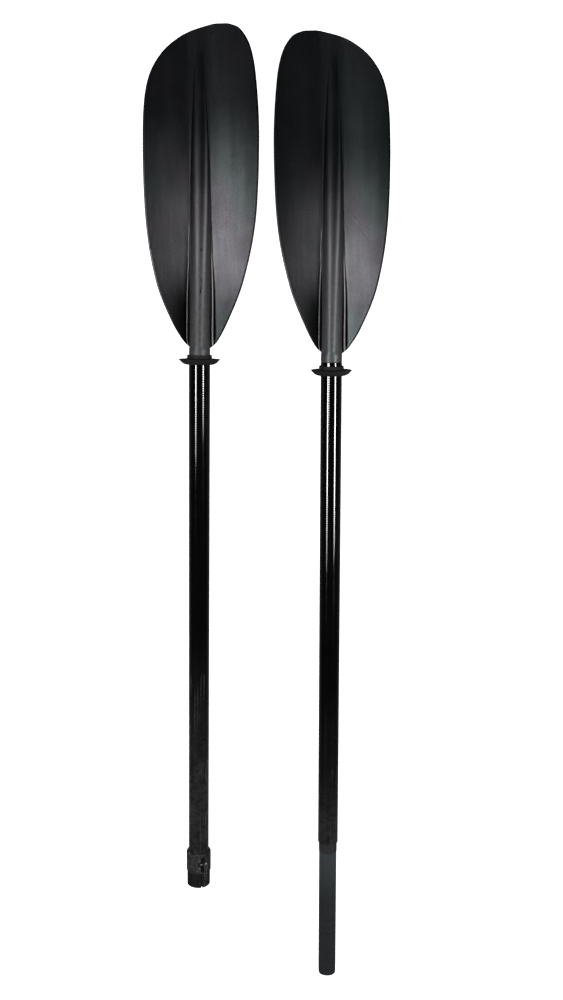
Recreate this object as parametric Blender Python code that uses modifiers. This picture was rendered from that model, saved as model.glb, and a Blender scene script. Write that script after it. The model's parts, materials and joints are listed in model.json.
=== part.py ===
"""Two-piece kayak paddle with a cam-lever ferrule clamp, both halves lying side by side, in metres."""
import math

import bmesh
import bpy
import numpy as np
from mathutils import Vector

MM = 0.001

# ---- driving dimensions (mm) ---------------------------------------------------------------
SHAFT_R = 15.0              # outside radius of both shaft tubes
BORE_R = 13.65              # inside radius of both shaft tubes
FERRULE_R = 13.2            # outside radius of the male ferrule
FERRULE_NECK_R = 12.6       # reduced part under the stop ring and inside the male shaft
FERRULE_BORE_R = 11.4
STOP_RING_R = 13.6
STOP_RING_LENGTH = 14.2
FERRULE_EXPOSED = 216.5     # male shaft end to ferrule tip
FERRULE_SEAT = 70.0         # length of ferrule glued inside the male shaft
GAP = 0.35                  # clearance between pieces that touch

BLADE_LENGTH = 430.0        # panel root to tip
NECK = 12.0                 # plain round neck between the panel root and the shaft tube
SPIGOT_R = 13.2
SPIGOT_LENGTH = 46.0
PANEL_DROP = 8.0            # the panel starts this far below the shaft axis
TIP_RISE = 18.0             # and rises this much on its way to the tip
DISH = 0.078                # slope of each panel, up from the spine to the edge
BLADE_ROLL = {"left": -5.0, "right": -10.0}   # how far each blade lies turned, degrees
PANEL_THICKNESS = 3.0
EDGE_THICKNESS = 1.7
RIM_WIDTH = 3.2
SPINE_END = 397.0           # where the spine runs out into the panel
SPINE_TAPER_FROM = 150.0    # the spine keeps the shaft's width up to here
SPINE_END_WIDTH = 5.0       # half width of the spine where it runs out
RIB_X = 17.9                # stiffening ribs either side of the spine
RIB_LENGTH = 150.0

RING_R = 29.0               # drip ring disc
RING_HUB_R = 17.4
RING_CONE_R = 20.5
RING_BORE_R = 15.65
RING_HUB_LENGTH = 6.0
RING_CONE_LENGTH = 7.3

FEMALE_LENGTH = 799.5       # neck end to the mouth of the clamp
MALE_LENGTH = 723.1         # neck end to the end of the male shaft tube
CLAMP_TOP = 744.5           # distances from the neck end
CLAMP_STEP = 775.7
COLLAR_R = 18.4
SLEEVE_R = 17.3
SLOT_ANGLE = 21.0           # degrees to the right of the front of the clamp
SLOT_WIDTH = 3.6
LEVER_FROM, LEVER_TO = -88.0, 5.0
LEVER_TOP, LEVER_BOTTOM = 750.0, 773.0
LEVER_INNER_R, LEVER_OUTER_R = 17.05, 18.35
PIVOT_ANGLE, PIVOT_R = 9.0, 17.1
KNUCKLE_R, PIN_R = 1.6, 0.75
LUG_FROM, LUG_TO = 31.0, 50.0
LUG_TOP, LUG_BOTTOM = 760.0, 797.0
LUG_R = 19.0
SCREW_R = 1.1

AXIS_HEIGHT = RING_R        # both halves lie on their drip rings
LEFT_NECK = (-94.96, 253.05)
RIGHT_NECK = (90.84, 245.35)
LEFT_YAW = -0.8             # degrees
RIGHT_RING_TILT = 1.8
LEFT_RING_AT = 3.7          # disc plane of each drip ring, below the neck end
RIGHT_RING_AT = 11.2
STEPS = 32

# Half outlines of the female blade, (distance from the panel root, sideways from the shaft axis)
SHORT_EDGE = [(0, -15.0), (11, -25.8), (40, -42.8), (94, -63.4), (175, -76.2), (281, -78.6),
              (350, -72.8), (390, -53.8), (416, -22.0), (428, 13.0), (430, 29.0)]
LONG_EDGE = [(0, 15.0), (11, 25.2), (40, 40.3), (94, 61.2), (175, 77.6), (281, 81.8),
             (359, 77.6), (400, 69.8), (422, 56.5), (429, 42.0), (430, 29.0)]
STATIONS = [5, 14, 30, 55, 85, 120, 160, 205, 250, 295, 335, 365, 388, 404, 415, 423, 427.5, 429.6]


# ---- helpers -------------------------------------------------------------------------------
def clear_scene():
    for ob in list(bpy.data.objects):
        bpy.data.objects.remove(ob, do_unlink=True)
    for name in ("kayak_paddle", "cutters"):
        old = bpy.data.collections.get(name)
        if old:
            bpy.data.collections.remove(old)
    made = []
    for name in ("kayak_paddle", "cutters"):
        col = bpy.data.collections.new(name)
        bpy.context.scene.collection.children.link(col)
        made.append(col)
    return made


def material(name, color, roughness, metallic=0.0):
    mat = bpy.data.materials.new(name)
    mat.use_nodes = True
    bsdf = mat.node_tree.nodes["Principled BSDF"]
    bsdf.inputs["Base Color"].default_value = (*color, 1.0)
    bsdf.inputs["Roughness"].default_value = roughness
    bsdf.inputs["Metallic"].default_value = metallic
    mat.diffuse_color = (*color, 1.0)
    return mat


def empty(name, location, rotation, parent=None):
    ob = bpy.data.objects.new(name, None)
    ob.location = location
    ob.rotation_euler = rotation
    ob.parent = parent
    PARTS.objects.link(ob)
    return ob


def add(name, mesh, parent, looks, cutter=False):
    ob = bpy.data.objects.new(name, mesh)
    ob.parent = parent
    (CUTTERS if cutter else PARTS).objects.link(ob)
    if cutter:
        ob.hide_render = True
        ob.display_type = "WIRE"
    else:
        color, roughness, metallic = LOOKS[looks]
        mesh.materials.append(material(name, color, roughness, metallic))
    return ob


def shade(ob, angle=35):
    for poly in ob.data.polygons:
        poly.use_smooth = True
    ob.data.set_sharp_from_angle(angle=math.radians(angle))


def mesh_from(bm, name):
    mesh = bpy.data.meshes.new(name)
    bmesh.ops.recalc_face_normals(bm, faces=bm.faces)
    bm.to_mesh(mesh)
    bm.free()
    return mesh


def turned(name, profile, parent, looks, steps=STEPS):
    """A closed (radius, z) profile in mm turned about the parent's Z axis."""
    bm = bmesh.new()
    points = [bm.verts.new((r * MM, 0, z * MM)) for r, z in profile]
    on_axis = min(r for r, _ in profile) == 0
    count = len(points)
    for i in range(count - 1 if on_axis else count):
        bm.edges.new((points[i], points[(i + 1) % count]))
    mesh = bpy.data.meshes.new(name)
    bm.to_mesh(mesh)
    bm.free()
    ob = add(name, mesh, parent, looks)
    screw = ob.modifiers.new("turn", "SCREW")
    screw.steps = screw.render_steps = steps
    screw.use_merge_vertices = True
    screw.merge_threshold = 0.000005
    screw.use_smooth_shade = True
    return ob


def tube_profile(outer, inner, top, bottom, bevel=0.4):
    return [(inner, top), (outer - bevel, top), (outer, top - bevel), (outer, bottom + bevel),
            (outer - bevel, bottom), (inner, bottom)]


def plug_profile(radius, top, bottom, bevel=0.6):
    return [(0, top), (radius - bevel, top), (radius, top - bevel), (radius, bottom + bevel),
            (radius - bevel, bottom), (0, bottom)]


def rod(name, radius, start, end, parent, looks, steps=16, cutter=False):
    """A round bar between two points (mm) of the parent's space."""
    a, b = Vector(start) * MM, Vector(end) * MM
    bm = bmesh.new()
    bmesh.ops.create_cone(bm, cap_ends=True, segments=steps, radius1=radius * MM,
                          radius2=radius * MM, depth=(b - a).length)
    ob = add(name, mesh_from(bm, name), parent, looks, cutter)
    ob.location = (a + b) / 2
    ob.rotation_euler = (b - a).to_track_quat("Z", "Y").to_euler()
    shade(ob)
    return ob


def around(angle, radius, z=0.0):
    """Point at an angle (degrees) to the right of the front of a shaft, in a shaft frame."""
    a = math.radians(angle)
    return Vector((radius * math.sin(a), -radius * math.cos(a), z))


def sector(name, inner, outer, start, stop, top, bottom, parent, looks, cutter=False):
    """Part of a ring between two angles, as an extruded flat outline turned into a mesh."""
    count = max(2, round(abs(stop - start) / 7.5))
    angles = [start + (stop - start) * i / count for i in range(count + 1)]
    outline = [around(a, outer) for a in angles] + [around(a, inner) for a in reversed(angles)]
    curve = bpy.data.curves.new(name, "CURVE")
    curve.dimensions = "2D"
    curve.fill_mode = "BOTH"
    curve.extrude = abs(top - bottom) / 2 * MM
    spline = curve.splines.new("POLY")
    spline.points.add(len(outline) - 1)
    for point, co in zip(spline.points, outline):
        point.co = (co.x * MM, co.y * MM, 0, 1)
    spline.use_cyclic_u = True
    flat = bpy.data.objects.new(name + "_outline", curve)
    CUTTERS.objects.link(flat)
    bpy.context.view_layer.update()
    graph = bpy.context.evaluated_depsgraph_get()
    mesh = bpy.data.meshes.new_from_object(flat.evaluated_get(graph))
    bpy.data.objects.remove(flat, do_unlink=True)
    bpy.data.curves.remove(curve)
    bm = bmesh.new()
    bm.from_mesh(mesh)
    bmesh.ops.remove_doubles(bm, verts=bm.verts, dist=0.000002)
    bmesh.ops.recalc_face_normals(bm, faces=bm.faces)
    bm.to_mesh(mesh)
    bm.free()
    mesh.name = name
    mesh.materials.clear()
    ob = add(name, mesh, parent, looks, cutter)
    ob.location = (0, 0, -(top + bottom) / 2 * MM)
    return ob


def boolean(ob, cutter, operation="DIFFERENCE"):
    mod = ob.modifiers.new(cutter.name, "BOOLEAN")
    mod.operation = operation
    mod.object = cutter
    mod.solver = "EXACT"


def rehome(ob, origin):
    """Moves an object's origin to a point (m) of its parent's space without moving its shape."""
    shift = Vector(origin) - ob.location
    turn = ob.rotation_euler.to_matrix().inverted()
    for vert in ob.data.vertices:
        vert.co -= turn @ shift
    ob.location = origin


# ---- blade ---------------------------------------------------------------------------------
def edge_at(points, t):
    """Sideways position of an outline at distance t, on a smooth curve through its points."""
    pts = np.array(points, float)
    pts = np.vstack([2 * pts[0] - pts[1], pts, pts[-1]])
    samples = []
    for p0, p1, p2, p3 in zip(pts[:-3], pts[1:-2], pts[2:-1], pts[3:]):
        for u in np.linspace(0, 1, 12, endpoint=False):
            samples.append(0.5 * (2 * p1 + (p2 - p0) * u + (2 * p0 - 5 * p1 + 4 * p2 - p3) * u ** 2
                                  + (3 * p1 - p0 - 3 * p2 + p3) * u ** 3))
    samples.append(pts[-1])
    samples = np.array(samples)
    return float(np.interp(t, np.maximum.accumulate(samples[:, 0]), samples[:, 1]))


def panel_height(x, t):
    lengthwise = TIP_RISE * (max(t - 20, 0) / (BLADE_LENGTH - 20)) ** 2
    return -PANEL_DROP + lengthwise + DISH * max(abs(x) - SHAFT_R, 0)


def spine(t):
    """Half width and height over the panel of the spine, on the face and on the back."""
    left = max(1 - t / SPINE_END, 0)
    taper = min(max(t - SPINE_TAPER_FROM, 0) / (SPINE_END - SPINE_TAPER_FROM), 1)
    width = SHAFT_R - (SHAFT_R - SPINE_END_WIDTH) * taper ** 2
    front = (SHAFT_R + PANEL_DROP) * left ** 1.1
    back = (SHAFT_R - PANEL_DROP - PANEL_THICKNESS) * left ** 0.8
    return width, front, back


def blade_section(t, side):
    """Closed loop of (x, z) round the blade at distance t from the panel root."""
    low, high = edge_at(SHORT_EDGE, t), edge_at(LONG_EDGE, t)
    width, front, back = spine(t)
    rib = max(1 - t / RIB_LENGTH, 0) ** 0.7 * min(t / 12, 1)
    blend = min(max((t - 380) / 35, 0), 1)

    def across(fraction, feature):
        even = low + (high - low) * fraction
        inside = min(max(feature, low * 0.97), high * 0.97)
        return even * blend + inside * (1 - blend)

    def face_z(x, lift=0.0):
        return panel_height(x, t) + lift

    top, under = [], []
    for sign, edge in ((-1, low), (1, high)):
        def fr(k):
            return 0.5 + sign * k
        span = abs(edge)
        run = [(edge, face_z(edge, -0.9)),
               (across(fr(0.47), edge - sign * min(RIM_WIDTH, span * 0.1)), None)]
        run += [(across(fr(k), sign * (span * k * 2 * 0.97)), None) for k in (0.38, 0.27)]
        run = [(x, face_z(x) if z is None else z) for x, z in run]
        rim = run[1]
        run[1] = (rim[0], rim[1] + 0.5)
        valley = -2.0 * rib
        for k, offset, lift in ((0.2, RIB_X + 1.5, valley), (0.17, RIB_X + 0.6, 9.0 * rib),
                                (0.14, RIB_X - 0.6, 9.0 * rib), (0.11, RIB_X - 1.5, 3.0 * rib)):
            x = across(fr(k), sign * max(min(offset, span - 2.0), width + 0.3))
            run.append((x, face_z(x, lift)))
        for k, turn in ((0.08, 80), (0.05, 50), (0.025, 25)):
            x = across(fr(k), sign * width * math.sin(math.radians(turn)))
            run.append((x, face_z(x, front * math.cos(math.radians(turn)) ** 1.0)))
        top.append(run)
        run = [(edge, face_z(edge, -0.9 - EDGE_THICKNESS))]
        for k, frac in ((0.4, 0.8), (0.28, 0.5)):
            x = across(fr(k), sign * max(span * frac, width + 1.0))
            run.append((x, face_z(x, -PANEL_THICKNESS)))
        for k, turn in ((0.12, 85), (0.07, 55), (0.035, 28)):
            x = across(fr(k), sign * width * math.sin(math.radians(turn)))
            run.append((x, face_z(x, -PANEL_THICKNESS - back * math.cos(math.radians(turn)))))
        under.append(run)
    crest = across(0.5, 0.0)
    loop = top[0] + [(crest, face_z(crest, front))] + top[1][::-1]
    loop += under[1] + [(crest, face_z(crest, -PANEL_THICKNESS - back))] + under[0][::-1]
    return [(side * x, z) for x, z in loop]


def round_section(radius, side):
    """The same number of points as a blade section, on a circle."""
    top = [180 - 180 * i / 22 for i in range(23)]
    under = [-6 - 168 * i / 12 for i in range(13)]
    return [(side * radius * math.cos(math.radians(a)), radius * math.sin(math.radians(a)))
            for a in top + under]


def blade(name, parent, side):
    """The whole blade in one loft, spigot first, along the parent's Y axis."""
    rings = [(-SPIGOT_LENGTH, round_section(SPIGOT_R - 0.8, side)),
             (-SPIGOT_LENGTH + 1.2, round_section(SPIGOT_R, side)),
             (-0.2, round_section(SPIGOT_R, side)), (0.0, round_section(SHAFT_R, side)),
             (NECK - 1.5, round_section(SHAFT_R, side))]
    rings += [(NECK + t, blade_section(t, side)) for t in STATIONS]
    bm = bmesh.new()
    loops = [[bm.verts.new((x * MM, y * MM, z * MM)) for x, z in ring] for y, ring in rings]
    for one, two in zip(loops, loops[1:]):
        for i in range(len(one)):
            j = (i + 1) % len(one)
            bm.faces.new((one[i], one[j], two[j], two[i]))
    bm.faces.new(loops[0])
    bm.faces.new(loops[-1][::-1])
    bmesh.ops.triangulate(bm, faces=bm.faces)
    ob = add(name, mesh_from(bm, name), parent, "blade")
    shade(ob, 40)
    return ob


# ---- pieces shared by both halves ----------------------------------------------------------
def drip_ring(name, parent, at, tilt=0.0):
    profile = [(RING_BORE_R, RING_HUB_LENGTH), (RING_HUB_R - 0.6, RING_HUB_LENGTH),
               (RING_HUB_R, RING_HUB_LENGTH - 0.6), (RING_HUB_R + 0.3, 0.7), (RING_R, 0.3),
               (RING_R, -0.5), (RING_CONE_R + 3.5, -5.2), (RING_CONE_R, -RING_CONE_LENGTH),
               (RING_BORE_R, -RING_CONE_LENGTH)]
    ring = turned(name, profile, parent, "rubber")
    ring.location = (0, 0, -at * MM)
    ring.rotation_euler = (math.radians(tilt), 0, 0)
    return ring


def blade_pin(prefix, parent, at, tube, blade_ob):
    """A straight pin through the shaft tube and the blade's spigot."""
    reach = SHAFT_R - 0.3
    rod(prefix + "_blade_pin", 1.5, (0, -reach, -at), (0, reach, -at), parent, "steel", 12)
    hole = rod(prefix + "_pin_hole", 1.85, (0, -SHAFT_R - 3, -at), (0, SHAFT_R + 3, -at), parent,
               None, 12, cutter=True)
    boolean(tube, hole)
    boolean(blade_ob, hole)


def half(prefix, neck, yaw, length, side, ring_at, ring_tilt, pin_at):
    """Empties, blade, shaft tube, drip ring and pin of one half."""
    base = empty(prefix + "_half", (neck[0] * MM, neck[1] * MM, AXIS_HEIGHT * MM),
                 (0, 0, math.radians(yaw)))
    shaft = empty(prefix + "_shaft_axis", (0, 0, 0), (math.radians(-90), 0, 0), base)
    blade_ob = blade(prefix + "_blade", base, side)
    blade_ob.rotation_euler = (0, math.radians(BLADE_ROLL[prefix]), 0)
    tube = turned(prefix + "_shaft_tube", tube_profile(SHAFT_R, BORE_R, -GAP, -length), shaft,
                  "tube")
    drip_ring(prefix + "_drip_ring", shaft, ring_at, ring_tilt)
    blade_pin(prefix, shaft, pin_at, tube, blade_ob)
    return shaft, tube


# ---- clamp on the female half --------------------------------------------------------------
def clamp(shaft, tube):
    inner = SHAFT_R + GAP
    profile = [(inner, -CLAMP_TOP), (COLLAR_R - 1.6, -CLAMP_TOP), (COLLAR_R - 0.5, -CLAMP_TOP - 0.5),
               (COLLAR_R, -CLAMP_TOP - 1.6), (COLLAR_R, -CLAMP_STEP + 0.6),
               (COLLAR_R - 0.6, -CLAMP_STEP), (SLEEVE_R, -CLAMP_STEP - 0.3),
               (SLEEVE_R, -FEMALE_LENGTH + 1.0), (SLEEVE_R - 0.8, -FEMALE_LENGTH),
               (inner, -FEMALE_LENGTH)]
    body = turned("clamp_body", profile, shaft, "nylon", 48)
    lug = sector("clamp_lug", inner + 0.4, LUG_R, LUG_FROM, LUG_TO, LUG_TOP, LUG_BOTTOM, shaft, None,
                 cutter=True)
    boolean(body, lug, "UNION")
    seat = sector("lever_seat", LEVER_INNER_R - GAP, COLLAR_R + 3, LEVER_FROM - 2, PIVOT_ANGLE - 4,
                  LEVER_TOP - GAP, LEVER_BOTTOM + GAP, shaft, None, cutter=True)
    boolean(body, seat)
    slot = sector("clamp_slot", inner - 3, COLLAR_R + 3, PIVOT_ANGLE - 7, LUG_FROM - 1,
                  LEVER_TOP - GAP, LEVER_BOTTOM + GAP, shaft, None, cutter=True)
    boolean(body, slot)
    slit = sector("sleeve_slit", inner - 3, COLLAR_R + 3, SLOT_ANGLE - 2.5, SLOT_ANGLE + 2.5,
                  LEVER_BOTTOM - 1, FEMALE_LENGTH + 2, shaft, None, cutter=True)
    boolean(body, slit)
    tube_slit = sector("tube_slit", BORE_R - 3, SHAFT_R + 2, SLOT_ANGLE - 3, SLOT_ANGLE + 3,
                       CLAMP_TOP + 8, FEMALE_LENGTH + 2, shaft, None, cutter=True)
    boolean(tube, tube_slit)

    pivot = around(PIVOT_ANGLE, PIVOT_R)
    lever_top, lever_bottom = -LEVER_TOP, -LEVER_BOTTOM
    pin_top, pin_bottom = (pivot.x, pivot.y, lever_top + 2.5), (pivot.x, pivot.y, lever_bottom - 2)
    rod("lever_pivot_pin", PIN_R, pin_top, pin_bottom, shaft, "steel", 12)
    pin_hole = rod("lever_pin_hole", PIN_R + 0.28, (pivot.x, pivot.y, lever_top + 2.8),
                   (pivot.x, pivot.y, lever_bottom - 2.3), shaft, None, 12, cutter=True)
    boolean(body, pin_hole)
    lever = sector("lock_lever", LEVER_INNER_R, LEVER_OUTER_R, LEVER_FROM, LEVER_TO,
                   LEVER_TOP, LEVER_BOTTOM, shaft, "nylon")
    knuckle = rod("lever_knuckle", KNUCKLE_R, (pivot.x, pivot.y, lever_top),
                  (pivot.x, pivot.y, lever_bottom), shaft, None, 20, cutter=True)
    boolean(lever, knuckle, "UNION")
    bore = rod("lever_bore", PIN_R + 0.28, (pivot.x, pivot.y, lever_top + 3),
               (pivot.x, pivot.y, lever_bottom - 3), shaft, None, 16, cutter=True)
    boolean(lever, bore)
    middle = -(LEVER_TOP + LEVER_BOTTOM) / 2
    window = sector("lever_window", 14, 22, LEVER_TO - 5, PIVOT_ANGLE + 12, -middle - 3.2,
                    -middle + 3.2, shaft, None, cutter=True)
    boolean(lever, window)
    rehome(lever, pivot * MM + Vector((0, 0, middle * MM)))

    barrel = around((LUG_FROM + LUG_TO) / 2, 17.3)
    along = (Vector((barrel.x, barrel.y, 0)) - Vector((pivot.x, pivot.y, 0))).normalized()
    start = Vector((pivot.x, pivot.y, middle)) + along * (PIN_R + 0.3)
    nut_top, nut_bottom = middle + 3.0, middle - 3.0
    reach = (Vector((barrel.x, barrel.y, 0)) - Vector((pivot.x, pivot.y, 0))).length
    end = start + along * (reach - PIN_R - 0.3 - 1.6 - GAP)
    rod("tension_screw", SCREW_R, start, end, shaft, "steel", 12)
    rod("barrel_nut", 1.6, (barrel.x, barrel.y, nut_top), (barrel.x, barrel.y, nut_bottom), shaft,
        "brass", 12)
    pocket = rod("nut_pocket", 1.6 + GAP, (barrel.x, barrel.y, nut_top + GAP),
                 (barrel.x, barrel.y, nut_bottom - GAP), shaft, None, 12, cutter=True)
    boolean(body, pocket)
    way = rod("screw_way", SCREW_R + GAP, start, end + along * 1.0, shaft, None, 12, cutter=True)
    boolean(body, way)
    hole = rod("lug_hole", 1.3, around(LUG_TO - 6, 12, -LUG_BOTTOM + 6), around(LUG_TO - 6, 24,
               -LUG_BOTTOM + 6), shaft, None, 12, cutter=True)
    boolean(body, hole)
    shade(body)
    shade(lever)


# ---- ferrule on the male half --------------------------------------------------------------
def ferrule(shaft):
    tip = -MALE_LENGTH - FERRULE_EXPOSED
    ring_end = -MALE_LENGTH - GAP - STOP_RING_LENGTH
    profile = [(FERRULE_BORE_R, -MALE_LENGTH + FERRULE_SEAT),
               (FERRULE_NECK_R, -MALE_LENGTH + FERRULE_SEAT), (FERRULE_NECK_R, ring_end - GAP),
               (FERRULE_R, ring_end - GAP), (FERRULE_R, tip + 3.0), (FERRULE_BORE_R, tip + 3.0)]
    turned("ferrule_tube", profile, shaft, "ferrule")
    turned("ferrule_stop_ring", tube_profile(STOP_RING_R, FERRULE_NECK_R + GAP,
           -MALE_LENGTH - GAP, ring_end, 0.2), shaft, "nylon")
    cap = [(0, tip + 12), (FERRULE_BORE_R - GAP, tip + 12), (FERRULE_BORE_R - GAP, tip + 3 - GAP),
           (FERRULE_R - 0.1, tip + 3 - GAP), (FERRULE_R - 0.2, tip + 0.5), (FERRULE_R - 0.9, tip),
           (0, tip)]
    turned("ferrule_end_cap", cap, shaft, "nylon")
    turned("right_shaft_bung", plug_profile(BORE_R - GAP, -150, -185), shaft, "foam", 24)
    turned("ferrule_bung", plug_profile(FERRULE_BORE_R - GAP, -MALE_LENGTH + 40, -MALE_LENGTH + 15),
           shaft, "foam", 24)


LOOKS = {
    "blade": ((0.030, 0.032, 0.034), 0.45, 0.0),
    "tube": ((0.010, 0.010, 0.011), 0.12, 0.0),
    "ferrule": ((0.050, 0.062, 0.064), 0.45, 0.0),
    "rubber": ((0.030, 0.030, 0.031), 0.75, 0.0),
    "nylon": ((0.035, 0.035, 0.037), 0.6, 0.0),
    "foam": ((0.10, 0.10, 0.10), 0.9, 0.0),
    "steel": ((0.55, 0.56, 0.58), 0.3, 1.0),
    "brass": ((0.65, 0.50, 0.25), 0.35, 1.0),
}

PARTS, CUTTERS = clear_scene()
left_shaft, left_tube = half("left", LEFT_NECK, LEFT_YAW, FEMALE_LENGTH - 1.5, 1, LEFT_RING_AT, 0.0,
                             6.0)
clamp(left_shaft, left_tube)
turned("socket_bung", plug_profile(BORE_R - GAP, -555, -580), left_shaft, "foam", 24)
turned("left_shaft_bung", plug_profile(BORE_R - GAP, -150, -185), left_shaft, "foam", 24)
right_shaft, right_tube = half("right", RIGHT_NECK, 0.0, MALE_LENGTH, -1, RIGHT_RING_AT,
                               RIGHT_RING_TILT, 13.0)
ferrule(right_shaft)
bpy.context.view_layer.update()
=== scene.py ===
"""Kayak paddle in two halves: camera, light, materials and detailed pieces on the CAD frame."""
import json
import math

import bmesh
import bpy
import numpy as np
from mathutils import Matrix, Vector


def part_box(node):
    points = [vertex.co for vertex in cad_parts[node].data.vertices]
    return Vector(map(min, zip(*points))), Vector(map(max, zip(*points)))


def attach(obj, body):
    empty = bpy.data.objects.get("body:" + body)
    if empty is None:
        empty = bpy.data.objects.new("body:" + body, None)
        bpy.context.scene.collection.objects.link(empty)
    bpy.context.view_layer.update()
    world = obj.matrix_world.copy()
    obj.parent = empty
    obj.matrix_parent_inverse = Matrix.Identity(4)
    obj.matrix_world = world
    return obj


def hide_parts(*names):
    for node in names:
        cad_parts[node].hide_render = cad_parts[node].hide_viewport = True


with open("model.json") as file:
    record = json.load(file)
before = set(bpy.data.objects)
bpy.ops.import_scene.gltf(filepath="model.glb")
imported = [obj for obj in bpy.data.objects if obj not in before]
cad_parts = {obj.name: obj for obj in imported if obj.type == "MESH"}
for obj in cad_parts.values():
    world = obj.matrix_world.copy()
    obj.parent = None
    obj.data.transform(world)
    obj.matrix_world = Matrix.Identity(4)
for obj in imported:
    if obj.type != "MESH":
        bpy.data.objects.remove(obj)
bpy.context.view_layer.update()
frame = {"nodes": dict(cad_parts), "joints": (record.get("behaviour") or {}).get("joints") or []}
NODES = frame["nodes"]
JOINTS = {joint["name"]: joint for joint in frame["joints"]}

# ---- sizes in mm, as the CAD has them except for the ribs ------------------------------------
MM = 0.001
SHAFT_R, BORE_R = 15.0, 13.65
FEMALE_TUBE, MALE_TUBE = 798.0, 723.1
FERRULE_R, FERRULE_NECK_R, FERRULE_BORE_R = 13.2, 12.6, 11.4
FERRULE_TIP = 939.6
FERRULE_GLUED, CAP_FLANGE, CAP_DEPTH = 70, 3, 12
STOP_RING_R, STOP_RING_LENGTH = 13.6, 14.2
GAP = 0.35
PIN_BELOW_NECK = {"left": 6.0, "right": 13.0}
RING_BELOW_NECK = {"left": 3.7, "right": 11.2}
RIGHT_RING_TILT = 1.8             # this and the roll are in degrees
BLADE_ROLL = {"left": -5.0, "right": -10.0}

BLADE_LENGTH, NECK = 430.0, 12.0
SPIGOT_R, SPIGOT_LENGTH = 13.2, 46.0
PANEL_DROP, TIP_RISE, TIP_RISE_FROM, DISH = 8.0, 18.0, 20.0, 0.078
PANEL_THICKNESS, EDGE_THICKNESS = 3.0, 1.7
SPINE_END, SPINE_TAPER_FROM, SPINE_END_WIDTH = 397.0, 150.0, 5.0
# The ribs run into the spine between these two distances; the CAD's ribs keep apart from it.
RIB_X, RIB_HEIGHT, RIB_LENGTH = 17.9, 9.0, 165.0
RIB_MERGE = (60.0, 165.0)
SHORT_EDGE = [(0, -15.0), (11, -25.8), (40, -42.8), (94, -63.4), (175, -76.2), (281, -78.6),
              (350, -72.8), (390, -53.8), (416, -22.0), (428, 13.0), (430, 29.0)]
LONG_EDGE = [(0, 15.0), (11, 25.2), (40, 40.3), (94, 61.2), (175, 77.6), (281, 81.8),
             (359, 77.6), (400, 69.8), (422, 56.5), (429, 42.0), (430, 29.0)]


def ramp(value, start, stop):
    """0 up to the start, 1 from the stop on, and a straight line between."""
    return min(max((value - start) / (stop - start), 0), 1)


def middle_of(node):
    low, high = (Vector(corner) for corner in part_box(node))
    return (low + high) / 2


def half_matrix(side):
    """Local space of a half: origin on the shaft axis at the neck, +Y to the tip, +Z up."""
    joint = JOINTS["socket_insert" if side == "left" else "feather_twist"]
    along = Vector(joint["axis"]).normalized()
    neck = middle_of(side + "_blade_pin") + along * PIN_BELOW_NECK[side] * MM
    yaw = math.atan2(-along.x, along.y)
    return Matrix.Translation(neck) @ Matrix.Rotation(yaw, 4, "Z")


HALF = {side: half_matrix(side) for side in ("left", "right")}
BODY = {"left": "female_half", "right": "male_half"}
RING_BODY = {"left": "female_ring", "right": "male_ring"}


# ---- material nodes -------------------------------------------------------------------------
BLADE_ROUGH = 0.32
SHINE_TIP = 0.15
SOOT, CHALK = (0.001, 0.001, 0.001), (0.05, 0.05, 0.052)


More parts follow.
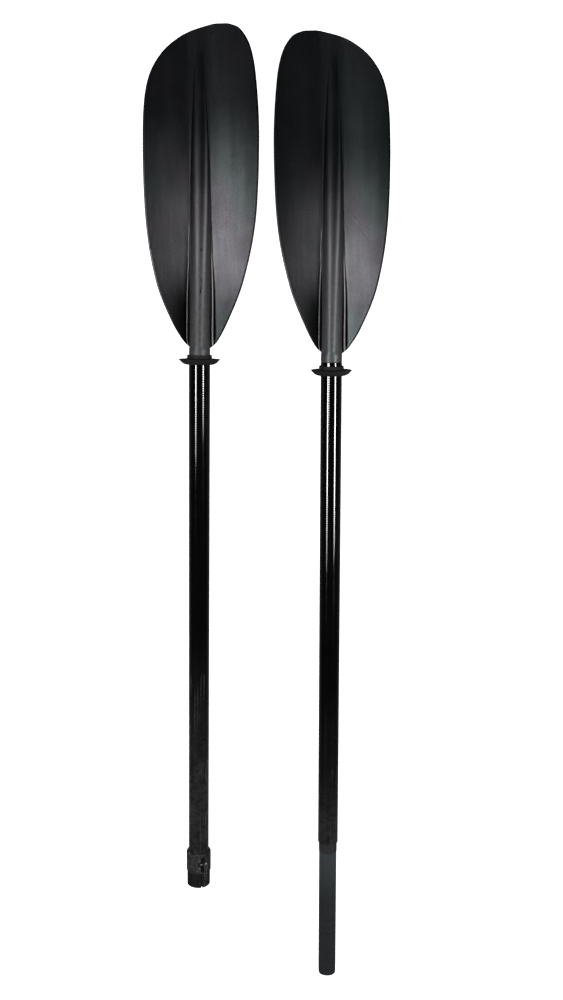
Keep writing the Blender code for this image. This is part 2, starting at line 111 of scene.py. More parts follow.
class Nodes:
    """Short ways to build one node material."""

    def __init__(self, name):
        self.material = bpy.data.materials.new(name)
        self.material.use_nodes = True
        self.tree = self.material.node_tree
        self.bsdf = self.tree.nodes["Principled BSDF"]
        self.coords = self.tree.nodes.new("ShaderNodeTexCoord").outputs["Object"]

    def add(self, kind, inputs=None, **settings):
        """A node with its settings, and with a value or a link on each input named."""
        node = self.tree.nodes.new(kind)
        for key, value in settings.items():
            setattr(node, key, value)
        for key, value in (inputs or {}).items():
            self.put(node.inputs[key], value)
        return node

    def put(self, socket, value):
        if isinstance(value, bpy.types.NodeSocket):
            self.tree.links.new(value, socket)
        else:
            socket.default_value = value

    def math(self, operation, a, b=0.0):
        return self.add("ShaderNodeMath", {0: a, 1: b}, operation=operation).outputs[0]

    def times(self, first, *others):
        """The product of all the values."""
        for other in others:
            first = self.math("MULTIPLY", first, other)
        return first

    def without(self, mask, part=1.0):
        """1 off the mask, and 1 less that part on it."""
        return self.math("SUBTRACT", 1.0, self.math("MULTIPLY", mask, part))

    def scaled(self, scale, rotation=(0, 0, 0)):
        """The object's own coordinates, turned and scaled."""
        node = self.add("ShaderNodeMapping", {"Vector": self.coords, "Scale": scale,
                                              "Rotation": rotation})
        return node.outputs["Vector"]

    def noise(self, scale, detail=3.0, roughness=0.5, vector=None):
        node = self.add("ShaderNodeTexNoise", {"Vector": vector or self.coords, "Scale": scale,
                                               "Detail": detail, "Roughness": roughness})
        return node.outputs["Fac"]

    def remap(self, value, low, high, to_low=0.0, to_high=1.0):
        """From to_low at the low value to to_high at the high one, eased at both ends."""
        node = self.add("ShaderNodeMapRange", {"Value": value, "From Min": low, "From Max": high,
                                               "To Min": to_low, "To Max": to_high},
                        interpolation_type="SMOOTHSTEP")
        return node.outputs["Result"]

    def mix(self, factor, a, b):
        node = self.add("ShaderNodeMix", data_type="RGBA")
        self.put(node.inputs["Factor"], factor)
        for name, value in (("A", a), ("B", b)):
            socket = next(s for s in node.inputs if s.name == name and s.type == "RGBA")
            self.put(socket, value if isinstance(value, bpy.types.NodeSocket) else (*value, 1.0))
        return next(s for s in node.outputs if s.type == "RGBA")

    def axis(self, name):
        return self.add("ShaderNodeSeparateXYZ", {"Vector": self.coords}).outputs[name]

    def bump(self, height, distance, strength=1.0, below=None):
        inputs = {"Height": height, "Distance": distance, "Strength": strength}
        if below is not None:
            inputs["Normal"] = below
        return self.add("ShaderNodeBump", inputs).outputs["Normal"]

    def finish(self, color, roughness, normal, metallic=0.0, **extra):
        self.put(self.bsdf.inputs["Base Color"], color)
        self.put(self.bsdf.inputs["Roughness"], roughness)
        self.bsdf.inputs["Metallic"].default_value = metallic
        self.put(self.bsdf.inputs["Normal"], normal)
        for key, value in extra.items():
            self.bsdf.inputs[key.replace("_", " ")].default_value = value
        return self.material


def scratches(n, scale, stretch, angle, threshold):
    """Thin lines, 1 on a line and 0 between, from a noise drawn out along one direction."""
    vector = n.scaled((scale * stretch, scale, scale), (0, 0, math.radians(angle)))
    lines = n.noise(1.0, 2.0, 0.4, vector)
    patches = n.remap(n.noise(22.0, 1.0), 0.5, 0.62)
    return n.times(n.remap(lines, threshold, threshold + 0.03), patches)


def mark_mask(n, x, y, length, width, angle):
    """1 on a wavering line about (x, y), turned by that angle from +Y; half length and width."""
    turned = n.add("ShaderNodeMapping", {"Vector": n.coords, "Location": (-x, -y, 0)},
                   vector_type="POINT").outputs["Vector"]
    turned = n.add("ShaderNodeVectorRotate", {"Vector": turned, "Angle": math.radians(-angle)},
                   rotation_type="Z_AXIS").outputs["Vector"]
    parts = n.add("ShaderNodeSeparateXYZ", {"Vector": turned}).outputs
    wobble = n.times(n.math("SUBTRACT", n.noise(320.0, 2.0), 0.5), width * 3)
    across = n.math("ABSOLUTE", n.math("ADD", parts["X"], wobble))
    along = n.math("ABSOLUTE", parts["Y"])
    return n.times(n.remap(across, width, width * 0.4), n.remap(along, length, length * 0.7))


def add_marks(n, color, marks):
    """The colour with its marks, dark ones of a positive depth and pale ones of a negative."""
    dark = 0.0
    for x, y, length, width, angle, depth in marks:
        mark = n.times(mark_mask(n, x, y, length, width, angle), abs(depth))
        color = n.mix(mark, color, SOOT if depth > 0 else CHALK)
        if depth > 0:
            dark = n.math("MAXIMUM", dark, mark)
    return color, dark


def spine_color_and_shade(n, sideways, along_blade):
    """The spine: palest at the root, mottled, and darker down its two flanks, where shade is
    painted.
    """
    wear_and_painted_light = n.mix(n.remap(along_blade, 0.190, 0.020), (0.030, 0.030, 0.031),
                   (0.088, 0.087, 0.089))
    mottled = n.remap(n.noise(190.0, 5.0, 0.75), 0.35, 0.65, 0.0, 0.5)
    wear_and_painted_light = n.mix(mottled, wear_and_painted_light, (0.034, 0.034, 0.035))
    # painted shade darkens the spine's two flanks
    wear_and_painted_light = n.mix(n.remap(sideways, 0.002, -0.0146, 0.0, 0.75), wear_and_painted_light, (0.022, 0.022, 0.023))
    return n.mix(n.remap(sideways, 0.009, 0.0146, 0.0, 0.75), wear_and_painted_light, (0.020, 0.020, 0.021))


def blade_material(name, dark, light, marks, shine_from, shine_to, edge_shine, root_shine,
                   cool, warm):
    """Moulded nylon: satin, finely grained, duller towards the tip, with handling marks.

    The shine grows from SHINE_TIP to 1 between two distances from the root, then falls to
    edge_shine at the edges and to root_shine at the root. Its tint wavers from cool to warm.
    """
    n = Nodes(name)
    parts = n.add("ShaderNodeSeparateXYZ", {"Vector": n.coords}).outputs
    sideways, along_blade = parts["X"], n.math("SUBTRACT", parts["Y"], NECK * MM)
    from_axis = n.math("ABSOLUTE", sideways)
    rib_at = n.remap(along_blade, RIB_MERGE[0] * MM, RIB_MERGE[1] * MM, RIB_X * MM, SHAFT_R * MM)
    off_rib = n.math("SUBTRACT", from_axis, rib_at)
    outside_rib = n.remap(off_rib, 0.0005, 0.0011)

    # where things are: painted shade in the hollows beside the ribs, painted highlights along the
    # rib crests, the spine, and a paler band of painted sheen on one panel
    reach = n.remap(sideways, -0.002, 0.002, 0.058, 0.024)
    hollow_shade = n.times(n.remap(from_axis, 0.0185, reach, 1.0, 0.0),
                     n.remap(along_blade, 0.125, 0.045), outside_rib)
    crest = n.times(n.remap(off_rib, -0.0011, -0.0006), n.remap(off_rib, 0.0011, 0.0006),
                    n.remap(along_blade, 0.150, 0.110))
    sheen_band = n.times(n.remap(along_blade, 0.270, 0.180), n.remap(along_blade, 0.060, 0.120),
                   n.remap(sideways, -0.066, -0.020), outside_rib,
                   n.remap(sideways, -0.001, 0.0, 1.0, 0.0))
    lines = n.math("MAXIMUM", scratches(n, 26.0, 46.0, 12.0, 0.70),
                   scratches(n, 22.0, 40.0, -38.0, 0.715))
    blotches = n.noise(9.0, 4.0, 0.6)
    fine = n.noise(1500.0, 2.0, 0.6)

    color = n.mix(n.remap(blotches, 0.35, 0.7), dark, light)
    color = n.mix(n.remap(fine, 0.55, 0.8, 0.0, 0.35), color, tuple(c * 2.4 for c in light))
    color, marked = add_marks(n, color, marks)
    color = n.mix(n.times(lines, 0.30), color, (0.035, 0.035, 0.037))
    # painted shade in the hollows beside the ribs
    color = n.mix(n.times(hollow_shade, 0.9), color, (0.0010, 0.0010, 0.0010))
    # a painted highlight along the rib crests
    color = n.mix(n.times(crest, 0.9), color, (0.34, 0.34, 0.342))
    ridge = n.times(n.remap(from_axis, 0.0156, 0.0148), n.remap(along_blade, 0.260, 0.120),
                    n.without(marked))
    # the spine gets its colour, with painted shade down its flanks
    color = n.mix(ridge, color, spine_color_and_shade(n, sideways, along_blade))
    # a paler band of painted sheen on one panel, which is also given more real shine below
    color = n.mix(sheen_band, color, (0.020, 0.0195, 0.0205))

    streaks = n.noise(1.0, 4.0, 0.6, n.scaled((60.0, 5.0, 60.0)))
    shine = n.times(n.remap(along_blade, shine_from, shine_to, SHINE_TIP, 1.0),
                    n.remap(streaks, 0.3, 0.7, 0.82, 1.16),
                    n.remap(n.noise(520.0, 2.0, 0.7), 0.3, 0.7, 0.84, 1.16),
                    n.remap(blotches, 0.35, 0.7, 0.88, 1.10),
                    n.remap(from_axis, 0.038, 0.080, 1.0, edge_shine),
                    n.remap(along_blade, 0.125, 0.030, 1.0, root_shine),
                    n.without(hollow_shade, 0.9), n.without(marked),
                    n.math("ADD", 1.0, n.times(sheen_band, 0.5)))
    n.put(n.bsdf.inputs["Specular IOR Level"], n.times(shine, 0.5))
    hue = n.math("ADD", n.noise(7.0, 2.0, 0.5), n.remap(along_blade, 0.10, 0.30, 0.06, -0.06))
    hue = n.math("ADD", hue, n.remap(sideways, -0.012, 0.012, 0.05, -0.03))
    n.put(n.bsdf.inputs["Specular Tint"], n.mix(n.remap(hue, 0.42, 0.58), cool, warm))

    rough = n.remap(n.noise(14.0, 5.0, 0.65), 0.3, 0.75, BLADE_ROUGH - 0.03, BLADE_ROUGH + 0.04)
    rough = n.math("ADD", rough, n.times(lines, 0.08))
    rough = n.math("ADD", rough, n.times(ridge, 0.06))
    grain = n.bump(fine, 0.00006, 0.5)
    waves = n.bump(n.noise(34.0, 2.0), 0.0009, 0.10, grain)
    return n.finish(color, rough, n.bump(lines, 0.00005, 0.4, waves))


def tube_material(name, dull_from, dull_to, dusty_to, scuffed, lean):
    """Gloss lacquer over wound fibre: the lower stretch is rubbed dull and scuffed.

    It goes from gloss to dull between two places along the shaft, and is dusty from just past the
    second on. A slight lean of the surface moves the highlights along the tube.
    """
    n = Nodes(name)
    y = n.axis("Y")
    dull = n.remap(y, dull_from, dull_to)
    specks = n.remap(n.noise(420.0, 3.0, 0.7), 0.66, 0.72)
    drawn = n.noise(1.0, 2.0, 0.4, n.scaled((900.0, 8.0, 260.0)))
    rubs = n.times(n.remap(drawn, 0.60, 0.66), n.remap(n.noise(22.0, 1.0), 0.5, 0.62))
    worn = n.times(n.math("MAXIMUM", specks, rubs), dull)
    winding = n.add("ShaderNodeTexWave", {"Vector": n.coords, "Scale": 95.0, "Distortion": 0.25,
                                          "Detail": 1.0, "Detail Scale": 3.0},
                    wave_type="BANDS", bands_direction="Y").outputs["Fac"]
    tone = n.mix(n.noise(30.0, 3.0), (0.0010, 0.0010, 0.0011), (0.0024, 0.0024, 0.0025))
    tone = n.mix(n.times(dull, 0.8), tone, (0.0060, 0.0060, 0.0062))
    dust = n.times(n.remap(y, dull_to + 0.04, dusty_to),
                   n.remap(n.noise(75.0, 5.0, 0.7), 0.35, 0.65, 0.25, 1.0))
    tone = n.mix(n.times(dust, 0.8), tone, (0.033, 0.033, 0.034))
    color = n.mix(n.times(worn, scuffed), tone, (0.060, 0.060, 0.060))
    rough = n.math("ADD", n.remap(n.noise(60.0, 4.0), 0.3, 0.7, 0.065, 0.095), n.times(dull, 0.16))
    rough = n.math("ADD", rough, n.times(worn, 0.25))
    ripple = n.bump(winding, 0.000027, 1.0)
    normal = n.bump(n.noise(900.0, 2.0), 0.00001, 0.4, ripple)
    normal = n.bump(n.times(y, lean), 1.0, 1.0, normal)
    patches = n.remap(n.noise(38.0, 4.0, 0.65), 0.35, 0.65, 0.20, 0.42)
    shine = n.math("ADD", 0.6, n.times(dull, n.math("SUBTRACT", patches, 0.6)))
    n.put(n.bsdf.inputs["Specular IOR Level"], shine)
    return n.finish(color, rough, normal)


def rubber_material():
    n = Nodes("drip_ring_rubber")
    dust = n.remap(n.noise(260.0, 5.0, 0.7), 0.52, 0.75)
    color = n.mix(n.noise(40.0, 3.0), (0.009, 0.009, 0.0093), (0.015, 0.015, 0.0153))
    color = n.mix(n.times(dust, 0.5), color, (0.028, 0.027, 0.026))
    rough = n.remap(n.noise(90.0, 3.0), 0.3, 0.7, 0.58, 0.78)
    normal = n.bump(n.noise(1300.0, 3.0), 0.00008, 0.5)
    return n.finish(color, rough, normal, Specular_IOR_Level=0.18)


def nylon_material(name, base, edge, wear_and_highlight):
    """Moulded nylon with scratches, and with lighter edges that are a painted highlight."""
    n = Nodes(name)
    pointy = n.add("ShaderNodeNewGeometry").outputs["Pointiness"]
    # the sharp edges get a painted highlight; the scratches mixed in with them are wear
    edges = n.times(n.remap(pointy, 0.51, 0.57), n.remap(n.noise(300.0, 3.0), 0.3, 0.6))
    wear_and_painted_light = n.math("MAXIMUM", edges, scratches(n, 90.0, 7.0, 80.0, 0.62))
    color = n.mix(n.noise(120.0, 4.0), base, tuple(c * 1.5 for c in base))
    color = n.mix(n.times(wear_and_painted_light, wear_and_highlight), color, edge)
    rough = n.remap(n.noise(200.0, 3.0), 0.3, 0.7, 0.48, 0.66)
    normal = n.bump(n.noise(1800.0, 2.0), 0.00005, 0.5)
    return n.finish(color, rough, normal, Specular_IOR_Level=0.2)


def ferrule_material():
    """Ground glass-fibre tube, satin, with turning marks round it and paler rub marks."""
    n = Nodes("ferrule_fibreglass")
    rings = n.noise(1.0, 3.0, 0.6, n.scaled((30.0, 2400.0, 30.0)))
    long_rubs = n.noise(1.0, 3.0, 0.6, n.scaled((900.0, 22.0, 900.0)))
    near_ring = n.remap(n.axis("Y"), -0.83, -0.735)
    color = n.mix(n.remap(rings, 0.3, 0.7), (0.0130, 0.0150, 0.0156), (0.0215, 0.0242, 0.0250))
    color = n.mix(n.times(near_ring, 0.75), color, (0.0450, 0.0510, 0.0550))
    color = n.mix(n.remap(long_rubs, 0.58, 0.75, 0.0, 0.40), color, (0.045, 0.049, 0.050))
    rough = n.remap(rings, 0.3, 0.7, 0.46, 0.60)
    normal = n.bump(rings, 0.00002, 0.5)
    return n.finish(color, rough, normal, Specular_IOR_Level=0.2)


def metal_material(name, base, tint):
    n = Nodes(name)
    lines = n.noise(1.0, 3.0, 0.6, n.scaled((400.0, 4000.0, 400.0)))
    color = n.mix(n.noise(200.0, 3.0), base, tint)
    rough = n.remap(lines, 0.3, 0.7, 0.24, 0.42)
    return n.finish(color, rough, n.bump(lines, 0.00001, 0.4), metallic=1.0)


def foam_material():
    n = Nodes("bung_foam")
    cells = n.add("ShaderNodeTexVoronoi", {"Vector": n.coords, "Scale": 900.0}).outputs["Distance"]
    color = n.mix(cells, (0.05, 0.05, 0.052), (0.11, 0.11, 0.112))
    return n.finish(color, n.remap(cells, 0.0, 0.6, 0.82, 0.95), n.bump(cells, 0.0002, 0.6))


def floor_material():
    n = Nodes("studio_floor")
    color = n.mix(n.noise(3.0, 3.0), (0.90, 0.90, 0.90), (0.93, 0.93, 0.93))
    n.put(n.bsdf.inputs["Emission Color"], color)
    return n.finish(color, 0.9, n.bump(n.noise(60.0, 2.0), 0.0001, 0.1), Emission_Strength=1.15)


# ---- mesh helpers ---------------------------------------------------------------------------
def link(name, mesh, matrix, material, body, nodes):
    ob = bpy.data.objects.new(name, mesh)
    bpy.context.scene.collection.objects.link(ob)
    ob.matrix_world = matrix
    mesh.materials.append(material)
    bpy.context.view_layer.update()
    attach(ob, body)
    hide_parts(*nodes)
    return ob


def smooth(mesh, angle=35.0):
    for poly in mesh.polygons:
        poly.use_smooth = True
    mesh.set_sharp_from_angle(angle=math.radians(angle))


def weighted(ob):
    ob.modifiers.new("normals", "WEIGHTED_NORMAL").keep_sharp = True


LATHE_STEPS, CORNER_STEPS = 128, 4


def lathe(name, profile, matrix, material, body, nodes):
    """A profile of (radius, distance along +Y) in mm, turned about the local Y axis."""
    bm = bmesh.new()
    verts = [bm.verts.new((r * MM, y * MM, 0)) for r, y in profile]
    closed = min(r for r, _ in profile) > 0
    edges = [bm.edges.new((verts[i], verts[(i + 1) % len(verts)]))
             for i in range(len(verts) if closed else len(verts) - 1)]
    bmesh.ops.spin(bm, geom=verts + edges, axis=(0, 1, 0), cent=(0, 0, 0), steps=LATHE_STEPS,
                   angle=2 * math.pi, use_merge=True)
    bmesh.ops.remove_doubles(bm, verts=bm.verts, dist=0.000001)
    bmesh.ops.recalc_face_normals(bm, faces=bm.faces)
    mesh = bpy.data.meshes.new(name)
    bm.to_mesh(mesh)
    bm.free()
    smooth(mesh)
    weighted(link(name, mesh, matrix, material, body, nodes))


def rounded(points, radius):
    """The closed profile with each corner rounded by up to that radius (mm)."""
    pts = [Vector(p) for p in points]
    out = []
    for i, corner in enumerate(pts):
        before, after = pts[i - 1] - corner, pts[(i + 1) % len(pts)] - corner
        cut = min(radius, before.length * 0.45, after.length * 0.45)
        a, b = corner + before.normalized() * cut, corner + after.normalized() * cut
        for k in range(CORNER_STEPS + 1):
            u = k / CORNER_STEPS
            out.append(tuple(a * (1 - u) ** 2 + corner * 2 * u * (1 - u) + b * u ** 2))
    return out


# ---- blade ----------------------------------------------------------------------------------
def edge_curve(points):
    """Dense samples of the smooth curve through an outline's points."""
    pts = np.array(points, float)
    pts = np.vstack([2 * pts[0] - pts[1], pts, pts[-1]])
    samples = []
    for p0, p1, p2, p3 in zip(pts[:-3], pts[1:-2], pts[2:-1], pts[3:]):
        for u in np.linspace(0, 1, 40, endpoint=False):
            samples.append(0.5 * (2 * p1 + (p2 - p0) * u + (2 * p0 - 5 * p1 + 4 * p2 - p3) * u ** 2
                                  + (3 * p1 - p0 - 3 * p2 + p3) * u ** 3))
    samples = np.array(samples + [pts[-1]])
    return np.maximum.accumulate(samples[:, 0]), samples[:, 1]


SHORT_CURVE, LONG_CURVE = edge_curve(SHORT_EDGE), edge_curve(LONG_EDGE)


def panel_height(x, t):
    """How high the face of a panel lies, as a shallow V across and a rise to the tip."""
    lengthwise = TIP_RISE * ramp(t, TIP_RISE_FROM, BLADE_LENGTH) ** 2
    return -PANEL_DROP + lengthwise + DISH * max(abs(x) - SHAFT_R, 0)


def spine(t):
    """Half width of the spine, and its height over the panel on the face and on the back."""
    left = max(1 - t / SPINE_END, 0)
    taper = ramp(t, SPINE_TAPER_FROM, SPINE_END)
    width = SHAFT_R - (SHAFT_R - SPINE_END_WIDTH) * taper ** 2
    front = (SHAFT_R + PANEL_DROP) * left ** 1.1
    back = (SHAFT_R - PANEL_DROP - PANEL_THICKNESS) * left ** 0.8
    return width, front, back


# Across one side of a section: how far each point lies inside the edge and its height there, the
# same for the rib, measured from its line outwards, and the spine's points in degrees from its top.
RIM_STEPS = [0.0, 0.35, 0.9, 1.7, 2.4, 3.0, 3.6, 4.4]
RIM_LIFT = [-0.85, -0.45, -0.18, -0.02, 0.06, 0.05, 0.02, 0.0]
RIB_STEPS = [4.0, 3.0, 2.2, 1.5, 1.05, 0.85, 0.6, 0.3, 0.0, -0.3, -0.5, -0.7, -0.9, -1.3, -1.7]
RIB_SHAPE = [0.0, -0.03, -0.08, -0.1, 0.1, 0.6, 0.9, 0.99, 1.0, 0.99, 0.9, 0.6, 0.35, 0.3, 0.3]
SPINE_TURNS = [90, 86, 81, 75, 68, 60, 52, 44, 36, 28, 20, 13, 6]
PANEL_COUNT = 22
FACE_COUNT = len(RIM_STEPS) + PANEL_COUNT - 1 + len(RIB_STEPS) + len(SPINE_TURNS)
RIB_RISES_OVER = 12.0             # from the root
RIB_FOOT = 4.2                    # the panel's points stop this far outside the rib's line
NARROW_RIB, NARROW_RIM = 26.0, 30.0   # a side narrower than this has its rib or rim squeezed
INNER_SHARE = 0.93                # panel and rib keep within this share of a side
BACK_RIM, BACK_FALL, BACK_INSET = 0.75, 0.55, 1.2
TIP_BLEND = (396, 423)            # where the points of a section spread out evenly
FIRST_SECTION = 2.5
STATIONS = [FIRST_SECTION, 4, 6, 8.5, 11, 14, 18, 22, *np.arange(28, 396, 6.0), 398, 402, 406, 410,
            413.5, 416.5, 419, 421.5, 423.5, 425.2, 426.6, 427.8, 428.7, 429.3, 429.7]


def side_points(t, sign, edge, low, high):
    """Face points of one side from the edge to the spine, as (x, z), and the back's likewise."""
    width, front, back = spine(t)
    rib = max(1 - t / RIB_LENGTH, 0) ** 0.9 * ramp(t, 0, RIB_RISES_OVER)
    apart = ramp(t, RIB_MERGE[1], RIB_MERGE[0])
    apart = apart * apart * (3 - 2 * apart) * (RIB_X - SHAFT_R)
    span = abs(edge)
    squeeze, scale = min(1.0, span / NARROW_RIB), min(1.0, span / NARROW_RIM)
    blend = ramp(t, *TIP_BLEND)
    blend = blend * blend * (3 - 2 * blend)
    inner = min(width + (RIB_X - SHAFT_R + RIB_FOOT) * squeeze, span * INNER_SHARE)
    face = [(edge - sign * step * scale, lift) for step, lift in zip(RIM_STEPS, RIM_LIFT)]
    start = abs(face[-1][0])
    for k in range(1, PANEL_COUNT):
        u = k / PANEL_COUNT
        face.append((sign * (start * (1 - u) + inner * u), 0.0))
    for step, shape in zip(RIB_STEPS, RIB_SHAPE):
        offset = min(width + apart * squeeze + step * squeeze, span * INNER_SHARE)
        face.append((sign * max(offset, width + 0.02 * (step + 4)), RIB_HEIGHT * rib * shape))
    for turn in SPINE_TURNS:
        face.append((sign * width * math.sin(math.radians(turn)),
                     front * math.cos(math.radians(turn))))
    back_face = [(edge, -BACK_RIM - EDGE_THICKNESS),
                 (edge - sign * BACK_INSET * scale, -BACK_FALL - EDGE_THICKNESS)]
    for k in range(1, PANEL_COUNT):
        u = k / PANEL_COUNT
        x = sign * (abs(back_face[1][0]) * (1 - u) + (width + 2.0) * u)
        back_face.append((x, -PANEL_THICKNESS + 0.8 * max(1 - 6 * u, 0)))
    for turn in SPINE_TURNS:
        back_face.append((sign * width * math.sin(math.radians(turn)),
                          -PANEL_THICKNESS - back * math.cos(math.radians(turn))))

    def settle(points):
        """The points put on the panel's height, and spread evenly towards the tip."""
        count = len(points)
        out = []
        for i, (x, lift) in enumerate(points):
            even = 0.5 + sign * 0.5 * (1 - i / count)
            spread = low + (high - low) * even
            inside = min(max(x, low), high)
            x = inside * (1 - blend) + spread * blend
            out.append((x, panel_height(x, t) + lift))
        return out

    return settle(face), settle(back_face)


def blade_section(t, mirror):
    """The closed loop of (x, z) points at a distance from the root, mirrored for the right."""
    low = float(np.interp(t, *SHORT_CURVE))
    high = float(np.interp(t, *LONG_CURVE))
    width, front, back = spine(t)
    left_face, left_back = side_points(t, -1, low, low, high)
    right_face, right_back = side_points(t, 1, high, low, high)
    crest = (low + high) / 2 * ramp(t, *TIP_BLEND)
    top = (crest, panel_height(crest, t) + front)
    under = (crest, panel_height(crest, t) - PANEL_THICKNESS - back)
    loop = left_face + [top] + right_face[::-1] + right_back + [under] + left_back[::-1]
    return [(mirror * x, z) for x, z in loop]


def round_section(radius, mirror):
    """A circle with its points at the angles of the first blade section's, so the neck runs
    straight into the blade."""
    around = [math.degrees(math.atan2(z, x)) for x, z in blade_section(FIRST_SECTION, 1)]
    count = 2 * FACE_COUNT + 1
    face = np.minimum.accumulate([a + 360 if a < -90 else a for a in around[:count]])
    back = np.minimum.accumulate(around[count:])
    return [(mirror * radius * math.cos(math.radians(a)), radius * math.sin(math.radians(a)))
            for a in (*face, *back)]


def blade(side, material):
    """Spigot, neck and blade as one skin through all its sections."""
    mirror = 1 if side == "left" else -1
    rings = [(-SPIGOT_LENGTH, round_section(SPIGOT_R - 0.8, mirror)),
             (-SPIGOT_LENGTH + 1.2, round_section(SPIGOT_R, mirror)),
             (-0.3, round_section(SPIGOT_R, mirror)), (-0.2, round_section(SPIGOT_R, mirror)),
             (0.0, round_section(SHAFT_R - 0.4, mirror)), (0.3, round_section(SHAFT_R, mirror)),
             (NECK - 3.0, round_section(SHAFT_R, mirror)),
             (NECK - 1.0, round_section(SHAFT_R, mirror))]
    rings += [(NECK + t, blade_section(t, mirror)) for t in STATIONS]
    bm = bmesh.new()
    loops = [[bm.verts.new((x * MM, y * MM, z * MM)) for x, z in ring] for y, ring in rings]
    for one, two in zip(loops, loops[1:]):
        for i in range(len(one)):
            j = (i + 1) % len(one)
            bm.faces.new((one[i], one[j], two[j], two[i]))
    bm.faces.new(loops[0])
    bm.faces.new(loops[-1][::-1])
    bmesh.ops.recalc_face_normals(bm, faces=bm.faces)
    mesh = bpy.data.meshes.new(side + "_blade_moulding")
    bm.to_mesh(mesh)
    bm.free()
    smooth(mesh, 50)
    matrix = HALF[side] @ Matrix.Rotation(math.radians(BLADE_ROLL[side]), 4, "Y")
    link(side + "_blade_moulding", mesh, matrix, material, BODY[side], [side + "_blade"])


# ---- the pieces -----------------------------------------------------------------------------
# Nicks and scratches: place, half length and half width in metres, turn in degrees, and depth.
LEFT_MARKS = [(0.0030, 0.092, 0.0080, 0.0009, -8, 0.95), (0.0042, 0.105, 0.0045, 0.0008, 14, 0.85),
              (0.0035, 0.147, 0.0028, 0.0010, 30, 0.90), (-0.0695, 0.150, 0.0030, 0.0012, 10, 0.9)]
RIGHT_MARKS = [(0.0407, 0.183, 0.0228, 0.0006, 42, -0.55), (0.052, 0.176, 0.012, 0.0005, 40, -0.35)]

blade("left", blade_material(
    "left_blade_nylon", dark=(0.0030, 0.0029, 0.0035), light=(0.0046, 0.0045, 0.0052),
    marks=LEFT_MARKS, shine_from=0.338, shine_to=0.175, edge_shine=0.62, root_shine=0.38,
    cool=(0.86, 0.985, 1.0), warm=(0.97, 0.91, 1.0)))
blade("right", blade_material(
    "right_blade_nylon", dark=(0.0026, 0.0031, 0.0034), light=(0.0040, 0.0046, 0.0050),
    marks=RIGHT_MARKS, shine_from=0.295, shine_to=0.105, edge_shine=0.42, root_shine=0.80,
    cool=(0.84, 0.99, 1.0), warm=(0.96, 0.91, 1.0)))

RING_PROFILE = [(15.65, 6.0), (17.4, 6.0), (17.75, 0.75), (22.5, 0.62), (29.0, 0.15), (29.0, -0.5),
                (24.5, -5.2), (20.5, -7.3), (15.65, -7.3)]
RUBBER = rubber_material()
for side in ("left", "right"):
    tilt = RIGHT_RING_TILT if side == "right" else 0.0
    place = (HALF[side] @ Matrix.Translation((0, -RING_BELOW_NECK[side] * MM, 0))
             @ Matrix.Rotation(math.radians(tilt), 4, "X"))
    lathe(side + "_drip_ring_rubber", rounded(RING_PROFILE, 0.35), place, RUBBER, RING_BODY[side],
          [side + "_drip_ring"])


def tube_profile(outer, inner, top, bottom, edge):
    return rounded([(inner, top), (outer, top), (outer, bottom), (inner, bottom)], edge)


TUBE_LEFT = tube_material("left_shaft_lacquer", dull_from=-0.38, dull_to=-0.52, dusty_to=-0.68,
                          scuffed=0.9, lean=0.05)
TUBE_RIGHT = tube_material("right_shaft_lacquer", dull_from=-0.46, dull_to=-0.64, dusty_to=-0.73,
                           scuffed=0.25, lean=-0.03)
lathe("left_shaft_lacquered", tube_profile(SHAFT_R, BORE_R, -GAP, -FEMALE_TUBE, 0.4), HALF["left"],
      TUBE_LEFT, BODY["left"], ["left_shaft_tube"])
lathe("right_shaft_lacquered", tube_profile(SHAFT_R, BORE_R, -GAP, -MALE_TUBE, 0.5), HALF["right"],
      TUBE_RIGHT, BODY["right"], ["right_shaft_tube"])

RING_END = -MALE_TUBE - GAP - STOP_RING_LENGTH
FERRULE_TOP, FERRULE_END = -MALE_TUBE + FERRULE_GLUED, -FERRULE_TIP + CAP_FLANGE
FERRULE_PROFILE = [(FERRULE_BORE_R, FERRULE_TOP), (FERRULE_NECK_R, FERRULE_TOP),
                   (FERRULE_NECK_R, RING_END - GAP), (FERRULE_R, RING_END - GAP),
                   (FERRULE_R, FERRULE_END), (FERRULE_BORE_R, FERRULE_END)]
lathe("ferrule_ground_tube", rounded(FERRULE_PROFILE, 0.3), HALF["right"], ferrule_material(),
      BODY["right"], ["ferrule_tube"])
lathe("ferrule_stop_band", tube_profile(STOP_RING_R, FERRULE_NECK_R + GAP, -MALE_TUBE - GAP,
      RING_END, 0.25), HALF["right"], nylon_material("stop_band_nylon", (0.0165, 0.0172, 0.0168),
      (0.05, 0.052, 0.055), 0.3), BODY["right"], ["ferrule_stop_ring"])
CAP = [(0, CAP_DEPTH), (FERRULE_BORE_R - GAP, CAP_DEPTH), (FERRULE_BORE_R - GAP, CAP_FLANGE - GAP),
       (FERRULE_R - 0.1, CAP_FLANGE - GAP), (FERRULE_R - 0.15, 0.7), (FERRULE_R - 0.35, 0.25),
       (FERRULE_R - 0.9, 0), (0, 0)]
lathe("ferrule_cap_nylon", [(r, y - FERRULE_TIP) for r, y in CAP], HALF["right"],
      nylon_material("end_cap_nylon", (0.010, 0.011, 0.0115), (0.06, 0.062, 0.064), 0.5),
      "ferrule_cap", ["ferrule_end_cap"])


def refinish(node, material, bevel=0.0):
    """A CAD node that keeps its shape, with softened edges and a new material."""
    ob = NODES[node]
    for slot in ob.material_slots:
        slot.material = material
    ob.modifiers.new("weld", "WELD").merge_threshold = 0.000002
    if bevel:
        mod = ob.modifiers.new("edges", "BEVEL")
        mod.width = bevel * MM
        mod.segments = 3
        mod.limit_method = "ANGLE"
        mod.angle_limit = math.radians(38)
    for poly in ob.data.polygons:
        poly.use_smooth = True
    weighted(ob)
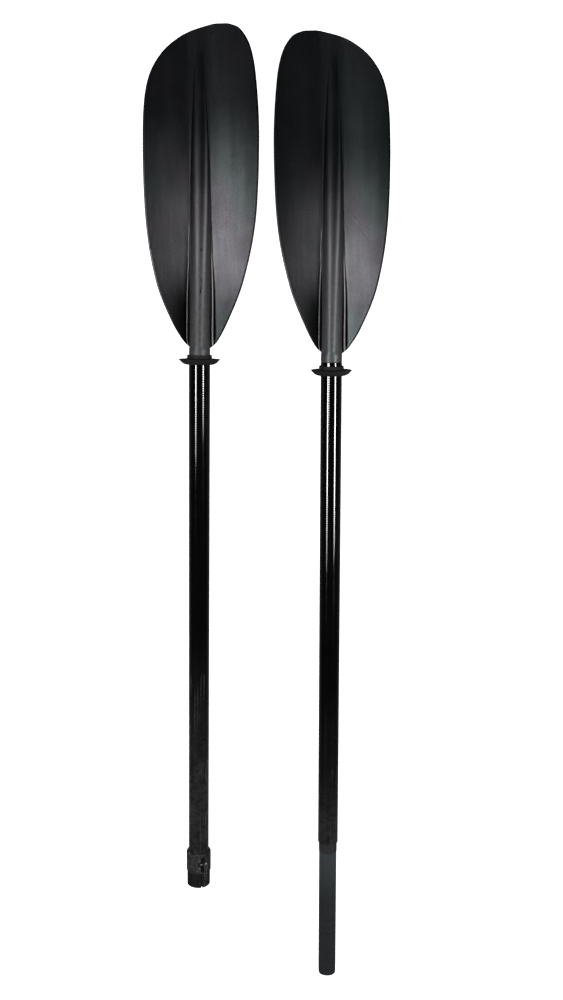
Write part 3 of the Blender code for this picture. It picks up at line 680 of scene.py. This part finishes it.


# the pale edge colours are painted highlights on the edges, mixed with scratch wear
CLAMP = nylon_material("clamp_nylon", (0.0050, 0.0050, 0.0053), (0.110, 0.110, 0.110), 0.8)
LEVER = nylon_material("lever_nylon", (0.0058, 0.0058, 0.0061), (0.120, 0.120, 0.120), 0.8)
refinish("clamp_body", CLAMP, 0.25)
refinish("lock_lever", LEVER, 0.2)
STEEL = metal_material("pin_steel", (0.20, 0.20, 0.21), (0.30, 0.30, 0.31))
for node in ("lever_pivot_pin", "tension_screw", "left_blade_pin", "right_blade_pin"):
    refinish(node, STEEL)
refinish("barrel_nut", metal_material("nut_brass", (0.26, 0.22, 0.16), (0.34, 0.29, 0.21)))
FOAM = foam_material()
for node in ("left_shaft_bung", "right_shaft_bung", "ferrule_bung", "socket_bung"):
    refinish(node, FOAM)


# ---- camera, light and floor ----------------------------------------------------------------
LENS, SENSOR = 41.4, 36.0         # in mm; the sensor's size is along the long side
CAMERA_TILT = 10.0
CAMERA_PLACE = (0.0205, 0.3353, 1.659)

camera = bpy.data.objects.new("camera", bpy.data.cameras.new("camera"))
camera.data.lens = LENS
camera.data.sensor_width = SENSOR
camera.location = CAMERA_PLACE
camera.rotation_euler = (math.radians(-CAMERA_TILT), 0, 0)
bpy.context.scene.collection.objects.link(camera)
bpy.context.scene.camera = camera

FLOOR_SIZE, FLOOR_HEIGHT = 14, -0.0005
bpy.ops.mesh.primitive_plane_add(size=FLOOR_SIZE, location=(0, 0, FLOOR_HEIGHT))
floor = bpy.context.object
floor.name = "studio_floor"
floor.data.materials.append(floor_material())
floor.visible_glossy = False

LIGHT_HEIGHT = 2.2
LIGHTS = {                        # place across and along, size across and along, watts
    "strip_left": (-1.66, 0.02, 0.42, 0.82, 38),
    "strip_right": (2.12, 0.02, 0.5, 0.82, 56),
    "box_left": (-0.98, 0.31, 0.4, 0.34, 11),
}
for name, (x, y, width, length, power) in LIGHTS.items():
    data = bpy.data.lights.new(name, "AREA")
    data.shape = "RECTANGLE"
    data.size, data.size_y = width, length
    data.energy = power
    lamp = bpy.data.objects.new(name, data)
    lamp.location = (x, y, LIGHT_HEIGHT)
    lamp.rotation_euler = (0, math.atan2(x, LIGHT_HEIGHT), 0)
    bpy.context.scene.collection.objects.link(lamp)

# The surroundings are brighter below the horizon, which greys the edges of the gloss tubes.
SKY = {"From Min": -0.9, "From Max": 0.1, "To Min": 0.16, "To Max": 0.012}
world = bpy.data.worlds.new("studio")
world.use_nodes = True
sky = world.node_tree.nodes
back = sky["Background"]
upward = sky.new("ShaderNodeSeparateXYZ")
shade = sky.new("ShaderNodeMapRange")
world.node_tree.links.new(sky.new("ShaderNodeTexCoord").outputs["Generated"], upward.inputs[0])
world.node_tree.links.new(upward.outputs["Z"], shade.inputs["Value"])
world.node_tree.links.new(shade.outputs["Result"], back.inputs["Strength"])
for key, value in SKY.items():
    shade.inputs[key].default_value = value
back.inputs["Color"].default_value = (0.92, 0.96, 1.0, 1.0)
bpy.context.scene.world = world
bpy.context.scene.view_settings.view_transform = "Standard"
